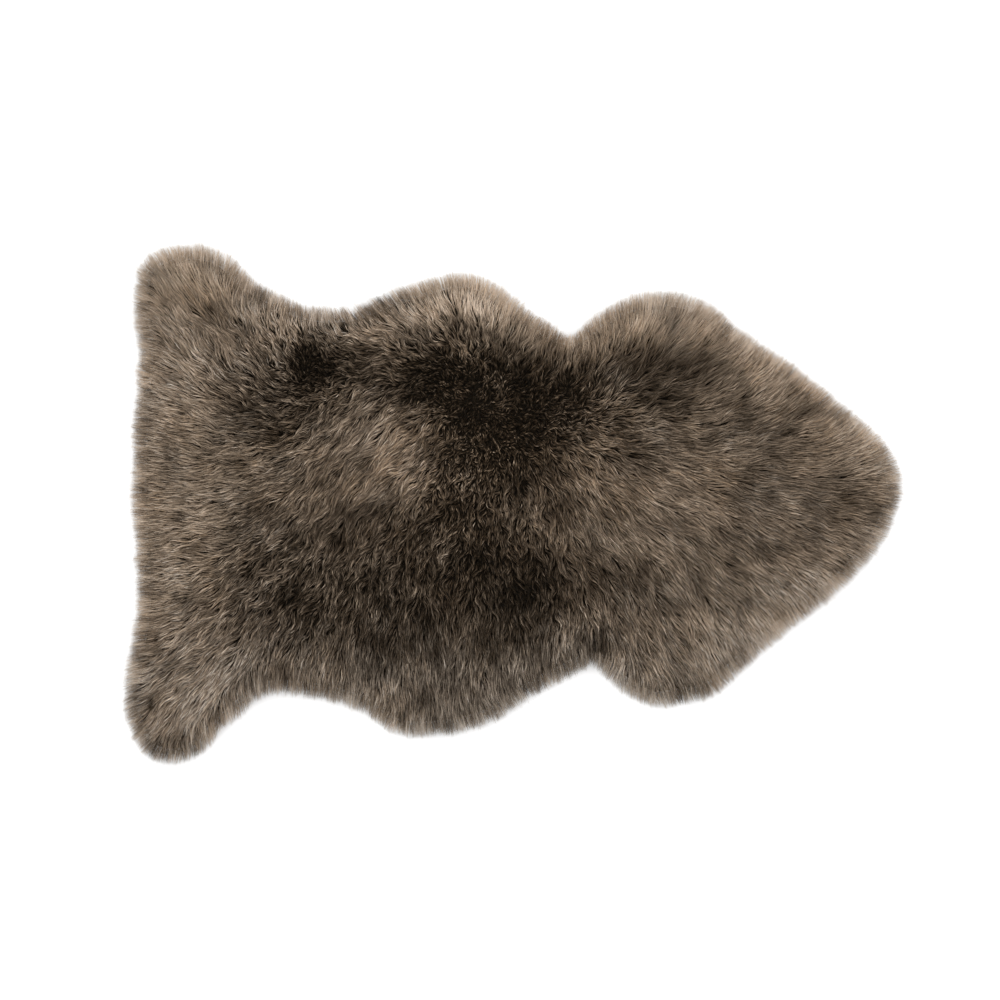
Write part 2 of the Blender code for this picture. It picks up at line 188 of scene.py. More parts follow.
# How the wool is combed: heading in degrees from the neck's direction towards the back,
# and lean from 0, upright, to 1, lying flat. Places in millimetres.
Stroke = namedtuple("Stroke", "place along across heading lean")
STROKES = [
    Stroke("rump corner", -452, 293, 138, 0.95),
    Stroke("hind leg", -392, 293, 116, 0.95),
    Stroke("front of hind leg", -353, 275, 106, 0.95),
    Stroke("rump, upper", -449, 226, 144, 0.95),
    Stroke("hind leg, inside", -389, 208, 131, 0.95),
    Stroke("hip, back", -322, 196, 126, 0.90),
    Stroke("into hip hollow", -304, 236, 100, 0.95),
    Stroke("hip hollow", -242, 236, 101, 0.90),
    Stroke("over hip parting", -255, 199, 112, 0.50),
    Stroke("hip parting", -252, 171, 120, 0.25),
    Stroke("above flank edge", -187, 233, 158, 0.90),
    Stroke("rump, upper middle", -449, 165, 158, 0.95),
    Stroke("rump side", -389, 153, 146, 0.95),
    Stroke("behind hip parting", -322, 147, 138, 0.85),
    Stroke("rump, middle", -449, 92, 172, 0.95),
    Stroke("rump side, middle", -383, 86, 165, 0.95),
    Stroke("under hip parting", -297, 113, 170, 0.70),
    Stroke("left of patch", -304, 80, 190, 0.85),
    Stroke("rump, low middle", -449, 6, 181, 0.95),
    Stroke("rump side, low", -371, 6, 182, 0.95),
    Stroke("foot of patch", -297, 24, 212, 0.90),
    Stroke("rump, lower", -449, -73, 181, 0.95),
    Stroke("thigh", -365, -67, 190, 0.90),
    Stroke("thigh, inside", -291, -73, 220, 0.70),
    Stroke("thigh parting", -276, -122, 230, 0.50),
    Stroke("lower rump", -449, -141, 200, 0.95),
    Stroke("over hock", -383, -141, 208, 0.95),
    Stroke("groin, back", -322, -141, 230, 0.85),
    Stroke("hock", -449, -202, 212, 0.95),
    Stroke("hock, front", -383, -196, 225, 0.95),
    Stroke("hock, end", -451, -275, 242, 0.95),
    Stroke("tip of hock", -402, -288, 238, 0.95),
    Stroke("groin edge", -316, -214, 252, 0.95),
    Stroke("patch, top", -224, 122, 232, 0.80),
    Stroke("patch, left", -224, 61, 243, 0.95),
    Stroke("patch, middle", -169, 86, 226, 0.98),
    Stroke("patch, right", -108, 80, 208, 0.90),
    Stroke("patch, foot", -169, 12, 226, 0.95),
    Stroke("under patch", -218, -31, 243, 0.80),
    Stroke("under patch, right", -138, -43, 236, 0.70),
    Stroke("loin, low", -236, -104, 248, 0.60),
    Stroke("belly hollow", -163, -104, 258, 0.60),
    Stroke("belly, back", -242, -178, 258, 0.90),
    Stroke("belly rim, back", -212, -220, 270, 0.95),
    Stroke("belly", -138, -178, 268, 0.90),
    Stroke("belly rim", -114, -257, 268, 0.95),
    Stroke("belly, front", -53, -184, 268, 0.90),
    Stroke("belly rim, front", -40, -257, 284, 0.95),
    Stroke("saddle, low", -83, -80, 256, 0.55),
    Stroke("saddle", -53, -18, 266, 0.50),
    Stroke("saddle, high", -53, 55, 275, 0.30),
    Stroke("left of back", -181, 174, 176, 0.85),
    Stroke("flank, back", -138, 226, 150, 0.90),
    Stroke("flank rim, back", -114, 263, 125, 0.95),
    Stroke("flank crown", -53, 269, 97, 0.98),
    Stroke("flank whorl", -83, 202, 120, 0.60),
    Stroke("back parting", -102, 147, 180, 0.25),
    Stroke("back parting, front", -22, 122, 20, 0.20),
    Stroke("flank rim, front", 2, 239, 72, 0.95),
    Stroke("down the flank", 27, 190, 64, 0.80),
    Stroke("waist, upper", 48, 208, 80, 0.95),
    Stroke("withers", 15, 141, 60, 0.40),
    Stroke("waist", 76, 184, 90, 0.90),
    Stroke("withers, front", 73, 141, 82, 0.60),
    Stroke("withers parting", 45, 113, 330, 0.35),
    Stroke("shoulder, back", 131, 226, 76, 0.95),
    Stroke("shoulder rim", 174, 242, 66, 0.98),
    Stroke("shoulder, low", 143, 171, 60, 0.85),
    Stroke("shoulder, front rim", 229, 233, 52, 0.98),
    Stroke("shoulder, inside", 137, 138, 40, 0.75),
    Stroke("shoulder, front", 223, 171, 30, 0.90),
    Stroke("neck rim, upper", 290, 202, 44, 0.98),
    Stroke("neck, upper", 308, 165, 45, 0.95),
    Stroke("neck side", 357, 141, 38, 0.98),
    Stroke("neck rim, front", 400, 104, 27, 0.98),
    Stroke("mane", 155, 110, 0, 0.90),
    Stroke("mane, front", 278, 98, 24, 0.95),
    Stroke("chest, back", 100, 80, 330, 0.85),
    Stroke("chest, middle", 198, 61, 345, 0.95),
    Stroke("neck, middle", 321, 55, 358, 0.98),
    Stroke("nape", 431, 55, 18, 0.98),
    Stroke("nape, low", 455, 6, 356, 0.98),
    Stroke("withers, low", 39, 55, 294, 0.70),
    Stroke("chest, under", 106, 18, 308, 0.90),
    Stroke("chest, front", 217, 6, 334, 0.95),
    Stroke("neck, low", 339, 0, 345, 0.98),
    Stroke("heart", 15, -18, 276, 0.70),
    Stroke("heart, front", 76, -49, 300, 0.85),
    Stroke("ribs", 162, -49, 322, 0.95),
    Stroke("cheek, high", 284, -49, 323, 0.98),
    Stroke("cheek rim, high", 400, -43, 338, 0.98),
    Stroke("elbow, high", 21, -92, 282, 0.55),
    Stroke("brisket, back", 76, -104, 292, 0.70),
    Stroke("brisket", 143, -104, 302, 0.85),
    Stroke("brisket, front", 223, -104, 314, 0.95),
    Stroke("cheek", 308, -104, 321, 0.98),
    Stroke("elbow", 21, -165, 266, 0.85),
    Stroke("elbow notch", 94, -178, 268, 0.90),
    Stroke("foreleg, back", 143, -159, 286, 0.90),
    Stroke("foreleg, high", 204, -153, 303, 0.95),
    Stroke("cheek rim, low", 308, -165, 306, 0.98),
    Stroke("foreleg rim, back", 162, -226, 304, 0.95),
    Stroke("foreleg", 217, -214, 303, 0.95),
    Stroke("foreleg rim, front", 278, -190, 294, 0.98),
]
STROKE_SPREAD = 37 * MM

# How bright the wool looks on a screen, from 0 to 255, from the rim inwards in millimetres:
# partly the wool's own paler tips, partly painted light on the rim and painted shade deeper in
RimToneAndLight = namedtuple("RimToneAndLight", "inside level")
RIM_TONES_AND_LIGHT = [
    RimToneAndLight(-8, 165),
    RimToneAndLight(0, 143),
    RimToneAndLight(5, 124),
    RimToneAndLight(10, 122),
    RimToneAndLight(18, 127),
    RimToneAndLight(30, 115),
    RimToneAndLight(50, 98.5),
    RimToneAndLight(75, 86.5),
    RimToneAndLight(120, 83),
]
# Where the wool is darker or paler, by how many levels: partly its own patchy tone, partly
# painted shade at its partings and hollows and painted light where it lies flat. Places and
# radii in millimetres. The edge is 1 where it is soft, more where crisp.
Shade = namedtuple("Shade", "place along across radius_x radius_y levels edge", defaults=[1])
PAINTED_SHADE_AND_TONE = [
    Shade("hip parting", -243, 168, 25, 32, -92),
    Shade("deep in the hip parting", -252, 171, 17, 28, -36, 3),
    Shade("under the hip", -307, 114, 40, 34, -24),
    Shade("behind the hip", -328, 159, 30, 40, -12),
    Shade("rump", -385, 6, 48, 330, 20),
    Shade("hock", -388, -226, 48, 62, 20),
    Shade("groin rim", -273, -214, 28, 18, -26),
    Shade("back parting, rear", -197, 171, 50, 27, -28),
    Shade("back parting", -102, 146, 46, 44, -66),
    Shade("back ridge", -53, 178, 50, 30, -25),
    Shade("flank rim, rear", -153, 252, 24, 18, -42),
    Shade("flank crown", -40, 252, 52, 26, 53),
    Shade("withers", 12, 128, 58, 54, -66),
    Shade("withers, front", 60, 165, 40, 42, -36),
    Shade("saddle", -53, 67, 42, 50, -48),
    Shade("saddle, front", 18, 54, 28, 52, -28),
    Shade("shoulder, inside", 172, 166, 68, 42, -38),
    Shade("shoulder crown", 192, 252, 42, 16, 27),
    Shade("saddle, low", 9, -107, 50, 54, -69),
    Shade("saddle, belly side", -46, -67, 50, 36, -28),
    Shade("belly hollow", -144, -110, 92, 42, -32),
    Shade("belly hollow, rear", -272, -95, 62, 46, -28),
    Shade("belly, rear", -172, -170, 55, 32, -29),
    Shade("belly, front", 3, -180, 44, 36, -20),
    Shade("belly rim", -78, -238, 76, 22, -32),
    Shade("elbow notch", 92, -182, 34, 30, -14),
    Shade("loin", -205, -49, 60, 34, -22),
    Shade("middle", -89, -18, 74, 36, -32),
    Shade("patch", -175, 80, 48, 28, 30),
    Shade("patch, front", -138, 58, 32, 38, 24),
    Shade("patch, foot", -160, 12, 60, 24, 14),
    Shade("patch, rear", -292, 50, 36, 26, 14),
    Shade("behind the shoulder", 84, 40, 22, 44, 16),
    Shade("ribs", 217, -6, 76, 76, 22),
    Shade("foreleg", 234, -160, 42, 32, 28),
    Shade("foreleg rim", 212, -229, 40, 13, -26),
    Shade("cheek", 308, -116, 50, 44, 8),
    Shade("cheek rim", 372, -88, 32, 30, 16),
    Shade("nape", 406, 6, 30, 48, -16),
    Shade("neck rim", 446, -8, 18, 30, -22),
    Shade("over the hip parting", -231, 218, 9, 15, -14),
    Shade("back ridge, front", -24, 198, 38, 20, -20),
    Shade("heart, high", 42, 116, 40, 40, -16),
    Shade("heart", 30, 22, 20, 28, -28),
    Shade("belly, middle", -90, -172, 70, 40, -20),
    Shade("elbow rim", 98, -150, 30, 46, -15),
    Shade("elbow", 84, -98, 38, 26, -15),
    Shade("in front of the waist", 96, 150, 24, 24, -18),
    Shade("shoulder, low", 250, 150, 34, 34, -34),
    Shade("neck rim, upper", 364, 116, 32, 24, -42),
    Shade("end of the hock", -424, -312, 30, 15, -36),
    Shade("belly rim, front", 30, -212, 30, 20, -18),
    Shade("rump edge, upper", -438, 208, 24, 34, -28),
    Shade("hind leg, middle", -397, 247, 16, 16, 12),
    Shade("rump, upper", -380, 166, 36, 60, 20),
    Shade("foot of the saddle", -104, 18, 34, 26, 24),
    Shade("inside the thigh", -272, 4, 18, 24, 33),
    Shade("thigh", -236, -61, 22, 24, 9),
    Shade("cheek, high", 339, -8, 24, 30, 14),
    Shade("cheek, low", 326, -160, 46, 28, 48),
    Shade("foreleg, back", 144, -208, 22, 30, -15),
    Shade("shoulder, front rim", 278, 204, 22, 20, 24),
    Shade("neck side", 430, 90, 20, 26, 15),
    Shade("flank, back", -110, 232, 22, 24, 26),
    Shade("left of the hip", -330, 58, 20, 18, 26),
    Shade("inside the thigh, low", -285, 10, 20, 20, 8),
    Shade("shoulder, middle", 242, 226, 28, 18, 24),
    Shade("waist", 125, 200, 24, 18, -12),
    Shade("flank furrow", -187, 187, 34, 6, -16),
    Shade("flank hollow", -175, 147, 14, 10, -20),
    Shade("crown notch", -74, 216, 7, 16, -36),
    Shade("crown wisp", -60, 186, 16, 17, 54),
    Shade("wisp in the parting", -14, 146, 15, 9, 56),
    Shade("hock spot", -445, -247, 8, 11, -64, 2),
    Shade("hock hollow", -408, -293, 13, 11, -42),
    Shade("thigh curl", -278, -121, 13, 6, -44),
    Shade("thigh curl, pale", -298, -103, 9, 7, 30),
    Shade("thigh furrow", -284, -154, 40, 17, -25),
    Shade("rump spot", -412, -20, 9, 5, -44),
    Shade("elbow furrow", 110, -160, 4.5, 26, -46, 2),
    Shade("elbow nick", 104, -184, 13, 9, -52, 2),
    Shade("cheek patch", 335, -117, 18, 15, 20),
    Shade("hip, back", -310, 186, 26, 26, 20),
    Shade("flank edge", -208, 196, 22, 20, 18),
    Shade("behind the patch", -284, 86, 26, 22, -40),
    Shade("hind leg, front", -352, 252, 24, 30, -26),
    Shade("flank rim, front", 2, 222, 18, 14, 12),
    Shade("patch, top", -144, 110, 26, 24, 13),
    Shade("belly rim, rear", -196, -240, 22, 14, 13),
    Shade("inside the hock", -334, -240, 16, 14, 12),
    Shade("waist rim", 62, 204, 16, 16, 27),
    Shade("neck, upper", 320, 162, 34, 26, 24),
    Shade("rump, middle", -395, -31, 18, 26, 15),
    Shade("neck, middle", 330, 20, 26, 24, 14),
    Shade("ribs, rear", 136, -30, 40, 34, 20),
    Shade("cheek rim, high", 400, -100, 30, 16, 32),
    Shade("over the patch", -212, 129, 18, 16, -26),
    Shade("mane", 180, 120, 44, 20, -17),
    Shade("belly furrow", -84, -122, 28, 24, -20),
    Shade("groin, front", -212, -190, 20, 16, -13),
]

PAINTED_BACK_LIGHT = 7  # painted light: how many levels brighter the rim is painted where it faces the back side and the key light
# Where the wool lies calm, with less contrast from strand to strand, by how much of it
Calm = namedtuple("Calm", "place along across radius_x radius_y share")
CALMS = [
    Calm("hind leg", -395, 270, 80, 60, 0.7),
    Calm("flank crown", -35, 250, 95, 58, 0.85),
    Calm("above the waist", 38, 192, 60, 44, 0.7),
    Calm("shoulder", 185, 215, 90, 70, 0.9),
    Calm("neck", 340, 80, 120, 110, 0.25),
]
# Loose mottling all over, by its scale in millimetres and its strength, here in levels
Mottle = namedtuple("Mottle", "scale strength seed")
MOTTLES = [Mottle(30, 14, 1.5), Mottle(14, 14, 7.5), Mottle(7, 4, 11.5)]

# Wool from its darkest to its palest tone, as it looks on a screen
Tone = namedtuple("Tone", "place colour")
WOOL_TONES = [
    Tone(0.00, (12, 8, 4)),
    Tone(0.12, (38, 29, 17)),
    Tone(0.25, (63, 51, 38)),
    Tone(0.38, (86, 73, 59)),
    Tone(0.50, (110, 96, 81)),
    Tone(0.62, (137, 120, 102)),
    Tone(0.74, (166, 147, 126)),
    Tone(0.87, (197, 177, 156)),
    Tone(1.00, (226, 209, 190)),
]
# Where the wool is browner than elsewhere, or greyer if below 0, from -1 to 1
Tint = namedtuple("Tint", "place along across radius_x radius_y share")
TINTS = [
    Tint("belly", -30, -235, 500, 85, -1.0),
    Tint("saddle", -20, 55, 130, 130, 0.8),
    Tint("neck, low side", 330, -90, 130, 80, -0.4),
]
TINT_MOTTLE = Mottle(40, 0.3, 21.5)
TINT_GAIN = 0.03  # what red gains and blue loses in the brownest wool, as a share of grey
TONE_SHIFT = -0.22  # from a strand's place across its map to its tone at the root
TIP_GAIN = 0.36  # how much paler a strand's tip is than its root
MIDDLE_TONE = 0.10  # the part of that gain which shows on the whole
STRIPS = 3  # the map's strips, from the greyest wool to the brownest
MAP_MARGIN = 0.02  # how far strands keep from the edges of their strip
MAP_SIDE = 0.006  # how far a strand reaches to each side across the map

# The undercoat is dark like the wool's roots, and that darkness also paints shade into the gaps
# between the strands
COAT_TONES_AND_SHADE = [Tone(0.3, (17, 14, 9)), Tone(0.7, (43, 35, 25))]
SUEDE_TONES = [
    Tone(0.3, (139, 122, 104)),
    Tone(0.5, (157, 140, 121)),
    Tone(0.72, (176, 160, 141)),
]

# The studio: the floor, the suns, and the photograph's middle and width on the floor
FLOOR_SIZE, FLOOR_TONE = 60, 0.92
Sun = namedtuple("Sun", "name towards spread power")
SUNS = [
    Sun("key light", (-0.25, 1.0, 1.2), 40, 1.5),
    Sun("side light", (1.0, -0.3, 1.2), 60, 0.34),
]
PHOTO_MIDDLE, PHOTO_WIDTH = (-0.0163, 0.0035), 1.2242
LENS, SENSOR = 85, 36
MID_HEIGHT = 20 * MM  # in the pile, where the photograph's width is measured


# ---- the lie of the pile


class Field:
    """A value over the floor, kept on a square grid and read smoothly between its points."""

    def __init__(self, values):
        self.values = values
        self.step = GRID_STEP * (GRID_COUNT[0] - 1) / (len(values) - 1)

    def __call__(self, spots):
        cell = (np.asarray(spots)[..., :2] - GRID_LOW) / self.step
        corner = np.clip(np.floor(cell).astype(int), 0, np.array(self.values.shape) - 2)
        fx, fy = np.moveaxis(np.clip(cell - corner, 0, 1), -1, 0)
        i, j = np.moveaxis(corner, -1, 0)
        v = self.values
        low = v[i, j] * (1 - fx) + v[i + 1, j] * fx
        high = v[i, j + 1] * (1 - fx) + v[i + 1, j + 1] * fx
        return low * (1 - fy) + high * fy


def grid_places(finer=1):
    """The grid's places, this many times finer."""
    x, y = (
        low + np.arange((count - 1) * finer + 1) * GRID_STEP / finer
        for low, count in zip(GRID_LOW, GRID_COUNT)
    )
    return np.stack(np.meshgrid(x, y, indexing="ij"), -1)


def coordinates(mesh):
    co = np.empty(len(mesh.vertices) * 3, np.float32)
    mesh.vertices.foreach_get("co", co)
    return co.reshape(-1, 3).astype(float)


def node_triangles():
    """The solid's corner points and triangles."""
    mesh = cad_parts[NODE].data
    corners = np.empty(len(mesh.polygons) * 3, np.int32)
    mesh.polygons.foreach_get("vertices", corners)
    return coordinates(mesh), corners.reshape(-1, 3)


def sole_loop(points, triangles):
    """The edge of the solid's flat sole, counter-clockwise from above."""
    hundredth = 0.01 * MM
    flat = triangles[(np.abs(points[triangles][:, :, 2]) < hundredth).all(1)]
    keys = [tuple(k) for k in np.round(points[:, :2] / hundredth).astype(int)]
    steps = {(keys[a], keys[b]) for t in flat for a, b in zip(t, np.roll(t, -1))}
    follow = {a: b for a, b in steps if (b, a) not in steps}
    first = min(follow)
    loop, here = [first], follow[first]
    while here != first:
        loop.append(here)
        here = follow[here]
    return np.array(loop[::-1]) * hundredth


def nearest_on(loop, spots):
    """Each spot's nearest place on a closed loop."""
    best = np.full(len(spots), np.inf)
    nearest = np.zeros((len(spots), 2))
    for a, b in zip(loop, np.roll(loop, -1, axis=0)):
        along = b - a
        share = np.clip(((spots - a) @ along) / (along @ along), 0, 1)
        place = a + share[:, None] * along
        distance = np.linalg.norm(spots - place, axis=1)
        nearer = distance < best
        best[nearer], nearest[nearer] = distance[nearer], place[nearer]
    return nearest


def within(loop, spots):
    """Whether each spot lies inside a closed loop."""
    crossings = np.zeros(len(spots), int)
    for a, b in zip(loop, np.roll(loop, -1, axis=0)):
        if a[1] != b[1]:
            crosses = (a[1] > spots[:, 1]) != (b[1] > spots[:, 1])
            x = a[0] + (spots[:, 1] - a[1]) / (b[1] - a[1]) * (b[0] - a[0])
            crossings += crosses & (spots[:, 0] < x)
    return crossings % 2 == 1


def softened(values, rounds=2):
    """The grid's values, each averaged with its neighbours."""
    for _ in range(rounds):
        padded = np.pad(values, 1, mode="edge")
        near = padded[2:, 1:-1] + padded[:-2, 1:-1] + padded[1:-1, 2:] + padded[1:-1, :-2]
        values = values / 2 + near / 8
    return values


def solid_height(points, triangles, spots):
    """The height of the solid's top over each spot, 0 where there is none."""
    tree = BVHTree.FromPolygons(points.tolist(), triangles.tolist())
    down = Vector((0, 0, -1))
    heights = np.zeros(spots.shape[:-1])
    for index in np.ndindex(heights.shape):
        hit = tree.ray_cast(Vector((*spots[index], 1.0)), down)[0]
        heights[index] = hit.z if hit else 0.0
    return heights


def smooth_step(value, low, high):
    share = np.clip((value - low) / (high - low), 0, 1)
    return share * share * (3 - 2 * share)


places = grid_places()
solid = node_triangles()
sole = sole_loop(*solid)
flat_places = places.reshape(-1, 2)
from_sole = np.linalg.norm(flat_places - nearest_on(sole, flat_places), axis=1)
from_sole = np.where(within(sole, flat_places), from_sole, -from_sole)
depth_grid = from_sole.reshape(places.shape[:-1]) + RIM_BEYOND_SOLE
fall = np.interp(depth_grid, *(np.array(RIM_FALL).T * MM))
height_grid = softened(solid_height(*solid, places)) + PROUD
top_grid = fall + (height_grid - fall) * smooth_step(depth_grid, *RIM_BLEND)
wall = COAT_FOOT + (depth_grid - EDGE_INSET) * COAT_STEEPNESS
coat_grid = np.maximum(np.minimum(top_grid - TOP_COAT, wall), COAT_FOOT)

depth = Field(depth_grid)  # from the edge of the wool, inwards
top = Field(top_grid)  # height of the wool
coat = Field(coat_grid)  # height of the roots
slope_x, slope_y = np.gradient(depth_grid, GRID_STEP)
outward_x, outward_y = Field(-slope_x), Field(-slope_y)
coat_x, coat_y = np.gradient(coat_grid, GRID_STEP)
steepness = Field(np.sqrt(1 + coat_x**2 + coat_y**2))


def outward(spots):
    way = np.stack([outward_x(spots), outward_y(spots)], -1)
    return way / np.maximum(np.linalg.norm(way, axis=-1, keepdims=True), 1e-6)


def combed(spots):
    """Which way the wool is combed at each spot, as a vector as long as its lean."""
    result = np.zeros((len(spots), 2))
    weights = np.zeros(len(spots))
    for s in STROKES:
        place = np.array([s.along, s.across]) * MM
        heading = math.radians(s.heading)
        way = s.lean * np.array([math.cos(heading), math.sin(heading)])
        near = np.exp(-((spots - place) ** 2).sum(1) / (2 * STROKE_SPREAD**2)) + 1e-9
        result += near[:, None] * way
        weights += near
    return result / weights[:, None]


def turned(vectors, angles):
    c, s = np.cos(angles), np.sin(angles)
    x, y = vectors[:, 0], vectors[:, 1]
    return np.stack([c * x - s * y, s * x + c * y], -1)


def drift(spots, scale, seed):
    """A smooth random value from about -1 to 1 over the rug."""
    return np.array([2 * noise.noise(Vector((x / scale, y / scale, seed))) for x, y in spots])


def fineness(spots):
    """0 towards the rump, where the locks are broad and wavy, 1 towards the neck."""
    return smooth_step(spots[..., 0], *FINER)


def inside(spots, band):
    """0 on the outer side of a band along the rim, 1 on its inner side."""
    return smooth_step(depth(spots), *band)


def wavy_comb(spots):
    """The comb with the wool's own waves in it, turned outwards and laid flat at the rim."""
    way = combed(spots)
    upright = 1 - np.linalg.norm(way, axis=1)
    waviness = WAVE_TURN * (1 - FINE_WAVES * fineness(spots))
    waviness *= RIM_WAVES + (1 - RIM_WAVES) * inside(spots, WAVE_BAND)
    turn = waviness * drift(spots, WAVE, 3.5) + CURL_TURN * upright * drift(spots, CURL, 5.5)
    way = turned(way, turn)
    near_rim = (1 - inside(spots, COMB_BAND))[:, None]
    lean = np.maximum(np.linalg.norm(way, axis=1, keepdims=True), near_rim)
    way = way * (1 - OUTWARD * near_rim) + outward(spots) * OUTWARD * near_rim
    way /= np.maximum(np.linalg.norm(way, axis=1, keepdims=True), 1e-6)
    return way * np.clip(lean, LEAST_LEAN, 1.0)


lie_grid = wavy_comb(flat_places).reshape(places.shape)
lie_x, lie_y = Field(lie_grid[..., 0]), Field(lie_grid[..., 1])


def lie(spots):
    """The lie of the wool at each spot, as a vector as long as its lean."""
    return np.stack([lie_x(spots), lie_y(spots)], -1)


def unit(vectors):
    return vectors / np.maximum(np.linalg.norm(vectors, axis=-1, keepdims=True), 1e-9)


def lock_ridges():
    """Locks as a fine grid: above 0 along their middles, below 0 in the furrows between.

    It is a grain as fine as the locks are wide, smeared out along the lie of the wool."""
    spots = grid_places(RIDGE_FINER)
    grain = softened(chance.normal(0, 1, spots.shape[:-1]), 1)
    at_rim = 1 - inside(spots, LOCK_BAND)
    breadth = BROAD + FINE_BROAD * fineness(spots) + RIM_BROAD * at_rim
    broad = softened(grain, BROADER) * breadth
    clumps = softened(grain, CLUMPED) * RIM_CLUMPS * at_rim
    grain = Field(grain + broad + clumps - softened(grain + broad, CLUMPED))
    total = grain(spots)
    for sense in (-1, 1):
        walk = spots
        for _ in range(SMEAR_STEPS):
            walk = walk + sense * unit(lie(walk)) * LOCK_LENGTH / (2 * SMEAR_STEPS)
            total = total + grain(walk)
    return total / total.std()


ridge_grid = lock_ridges()
ridge = Field(ridge_grid)
ridge_slopes = np.gradient(ridge_grid, GRID_STEP / RIDGE_FINER)
ridge_slope_x, ridge_slope_y = (Field(slope) for slope in ridge_slopes)
rim_bumps = Field(drift(flat_places, RIM_BUMP, 9.5).reshape(depth_grid.shape))


def short_of_rim(spots):
    """How much sooner than elsewhere the wool ends at each spot of the rim."""
    total = rim_bumps(spots) * RIM_BUMPS
    for n in NOTCHES:
        squared = ((spots / MM - (n.along, n.across)) ** 2).sum(1) / n.radius**2
        total += n.depth * MM * np.exp(-squared / 2)
    return total


def away(spots, oval):
    """How far each spot is from an oval place's middle, in its own radii, squared."""
    across_x = (spots[:, 0] / MM - oval.along) / oval.radius_x
    across_y = (spots[:, 1] / MM - oval.across) / oval.radius_y
    return across_x**2 + across_y**2


def shares_of(ovals, spots):
    """The shares that these oval places have at each spot, added up."""
    return sum(oval.share * np.exp(-away(spots, oval)) for oval in ovals)


def mottled(spots, mottle):
    return mottle.strength * drift(spots, mottle.scale * MM, mottle.seed)


def liveliness(spots):
    """How much the strands differ from one another, less than 1 where the wool lies calm."""
    return np.maximum(1 - shares_of(CALMS, spots), LEAST_LIVELY)


def strip_numbers(spots):
    """Which strip of the map each strand has. Between two tints, strands of both mix."""
    tint = shares_of(TINTS, spots) + mottled(spots, TINT_MOTTLE)
    place = (tint + 1) / 2 * (STRIPS - 1) + tint_chance.random(len(spots))
    return np.clip(np.floor(place), 0, STRIPS - 1)


def look_level(spots):
    """How bright the wool looks on a screen at each spot: its own tone, with painted light and
    shade in it.
    """
    # the rim's paler tone, with painted light on the rim and painted shade deeper in
    insides, levels = zip(*RIM_TONES_AND_LIGHT)
    level = np.interp(depth(spots) / MM, insides, levels)
    # patches of the wool's own tone, and painted shade at partings and hollows
    for shade in PAINTED_SHADE_AND_TONE:
        level += shade.levels * np.exp(-(away(spots, shade) ** shade.edge))
    # painted light on the rim that faces the back side and the key light
    painted_light_share = outward(spots)[:, 1] * (1 - inside(spots, PAINTED_LIGHT_BAND))
    level += PAINTED_BACK_LIGHT * painted_light_share
    return level + sum(mottled(spots, mottle) for mottle in MOTTLES)


# ---- materials


def new_material(name, roughness, specular):
    material = bpy.data.materials.new(name)
    material.use_nodes = True
    tree = material.node_tree
    shader = tree.nodes["Principled BSDF"]
    shader.inputs["Roughness"].default_value = roughness
    shader.inputs["Specular IOR Level"].default_value = specular
    return material, tree, shader


def linear(colour):
    """An 8-bit screen colour as the shader's own linear values."""
    share = [c / 255 for c in colour]
    return [s / 12.92 if s <= 0.04045 else ((s + 0.055) / 1.055) ** 2.4 for s in share] + [1.0]


def colour_ramp(tree, source, tones):
    ramp = tree.nodes.new("ShaderNodeValToRGB")
    elements = ramp.color_ramp.elements
    while len(elements) < len(tones):
        elements.new(0.5)
    for element, tone in zip(elements, tones):
        element.position = tone.place
        element.color = linear(tone.colour)
    tree.links.new(source, ramp.inputs["Fac"])
    return ramp.outputs["Color"]


def noise_texture(tree, scale, detail, roughness):
    place = tree.nodes.new("ShaderNodeTexCoord")
    texture = tree.nodes.new("ShaderNodeTexNoise")
    texture.inputs["Scale"].default_value = scale
    texture.inputs["Detail"].default_value = detail
    texture.inputs["Roughness"].default_value = roughness
    tree.links.new(place.outputs["Object"], texture.inputs["Vector"])
    return texture.outputs["Fac"]


def bump(tree, shader, height, distance, strength):
    node = tree.nodes.new("ShaderNodeBump")
    node.inputs["Distance"].default_value = distance
    node.inputs["Strength"].default_value = strength
    tree.links.new(height, node.inputs["Height"])
    tree.links.new(node.outputs["Normal"], shader.inputs["Normal"])


def calculated(tree, operation, source, second=0.0):
    """A maths node's result from a node's value and another one or a number."""
    node = tree.nodes.new("ShaderNodeMath")
    node.operation = operation
    tree.links.new(source, node.inputs[0])
    if isinstance(second, bpy.types.NodeSocket):
        tree.links.new(second, node.inputs[1])
    else:
        node.inputs[1].default_value = second
    return node.outputs["Value"]


def browner(tones, share):
    """These tones with some of the blue in them moved to red."""
    moved = []
    for tone in tones:
        red, green, blue = tone.colour
        gain = share * (red + green + blue) / 3
        moved.append(Tone(tone.place, (red + gain, green, blue - gain)))
    return moved


